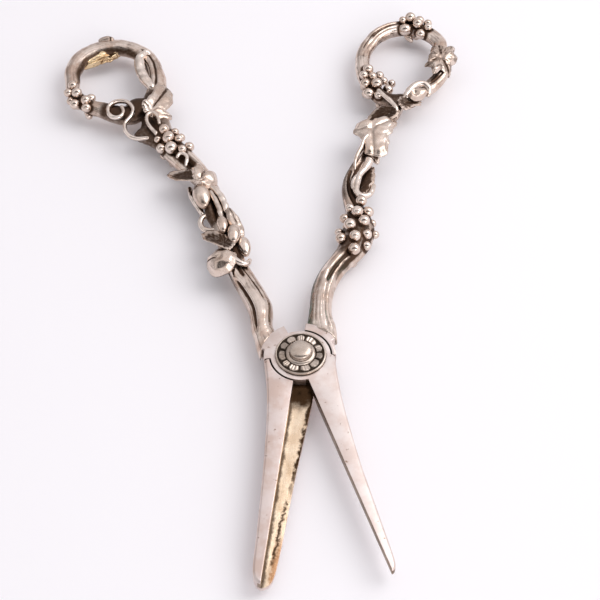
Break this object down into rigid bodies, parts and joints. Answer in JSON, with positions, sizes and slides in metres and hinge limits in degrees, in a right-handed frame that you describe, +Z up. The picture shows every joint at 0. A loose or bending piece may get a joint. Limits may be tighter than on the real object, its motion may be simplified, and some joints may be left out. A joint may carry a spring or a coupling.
{
  "type": "grape shears",
  "caption": "Silver grape shears with scissor action: a narrow blade shears past a broad flanged blade on a button pivot, with cast vine and grape handles ending in finger rings.",
  "frame": {"origin": "on the pivot axis at the flat underside of the pivot nut", "axes": "+Z up through the pivot, +Y from the pivot towards the finger rings, blades towards -Y"},
  "size_m": [0.1103, 0.1764, 0.0096],
  "materials": {
    "blade_silver": "worn polished silver with brown tarnish and gilding on the flange",
    "pivot_silver": "worn polished silver",
    "vine_silver": "cast silver with dark patina in the recesses"
  },
  "bodies": {
    "lower_arm": {"lower_blade": "blade_silver", "pivot_nut": "pivot_silver", "pivot_pin": "pivot_silver", "right_big_leaf": "vine_silver", "right_bunch_stalk": "vine_silver", "right_curved_shoot": "vine_silver", "right_hook_leaf": "vine_silver", "right_hook_shoot": "vine_silver", "right_jagged_leaf": "vine_silver", "right_knot_tendril": "vine_silver", "right_loop_tendril": "vine_silver", "right_ring": "vine_silver", "right_ring_bud": "vine_silver", "right_ring_leaf": "vine_silver", "right_ring_leaflet": "vine_silver", "right_side_grapes": "vine_silver", "right_stem": "vine_silver", "right_stem_bud": "vine_silver", "right_stem_grapes": "vine_silver", "right_top_grapes": "vine_silver", "right_under_leaf": "vine_silver", "right_wavy_tendril": "vine_silver", "rosette_washer": "pivot_silver"},
    "upper_arm": {"left_back_shoot": "vine_silver", "left_bell_bud": "vine_silver", "left_cross_shoot": "vine_silver", "left_curl_tendril": "vine_silver", "left_curled_leaf": "vine_silver", "left_hips": "vine_silver", "left_hooded_leaf": "vine_silver", "left_inner_shoot": "vine_silver", "left_lobed_leaf": "vine_silver", "left_loop_tendril": "vine_silver", "left_ring": "vine_silver", "left_ring_bud": "vine_silver", "left_ring_grapes": "vine_silver", "left_ring_inner_leaf": "vine_silver", "left_ring_leaf": "vine_silver", "left_ring_leaflet": "vine_silver", "left_round_leaf": "vine_silver", "left_side_leaf": "vine_silver", "left_spiral_tendril": "vine_silver", "left_stem": "vine_silver", "left_stem_grapes": "vine_silver", "left_stem_loop": "vine_silver", "left_twist_shoot": "vine_silver", "left_wrap_shoot": "vine_silver", "upper_blade": "blade_silver"}
  },
  "joints": [
    {"name": "pivot_hinge", "type": "hinge", "parent": "lower_arm", "child": "upper_arm", "pos_m": [0, 0, 0.0044], "axis": [0, 0, 1], "range_deg": [-27.4, 0]}
  ]
}
